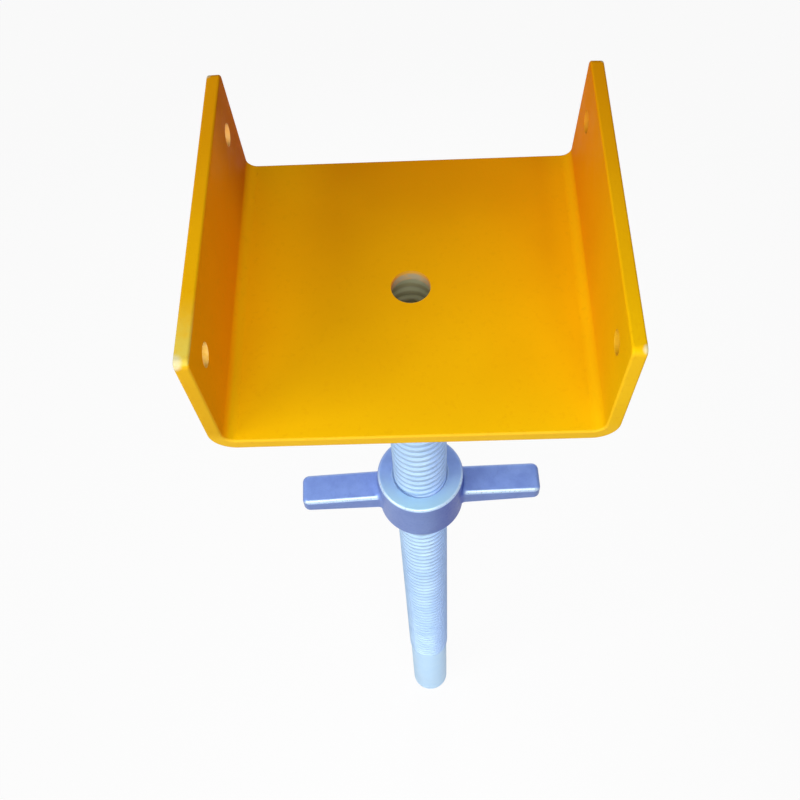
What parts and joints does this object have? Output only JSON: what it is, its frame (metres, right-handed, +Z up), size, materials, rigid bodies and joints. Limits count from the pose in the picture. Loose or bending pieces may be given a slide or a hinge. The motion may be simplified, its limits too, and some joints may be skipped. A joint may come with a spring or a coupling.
{
  "type": "u-head jack",
  "caption": "Folded U-shaped plate head on a threaded tube stem with a cast wing nut, for seating a beam on top of a scaffold tube at a set height.",
  "frame": {"origin": "centre of the stem's foot", "axes": "+Z up along the stem, Y along the head's channel, X across it"},
  "size_m": [0.1704, 0.15, 0.664],
  "materials": {
    "head_paint": "gloss yellow paint over steel plate",
    "stem_zinc": "bright zinc plate over a rolled thread",
    "nut_zinc": "blue passivated zinc plate over a casting"
  },
  "bodies": {
    "jack": {"u_head": "head_paint", "stem": "stem_zinc", "weld": "head_paint"},
    "nut": {"wing_nut": "nut_zinc"}
  },
  "joints": [
    {"name": "nut_travel", "type": "slide", "parent": "jack", "child": "nut", "axis": [0, 0, 1], "range_m": [-0.276, 0.156]}
  ]
}
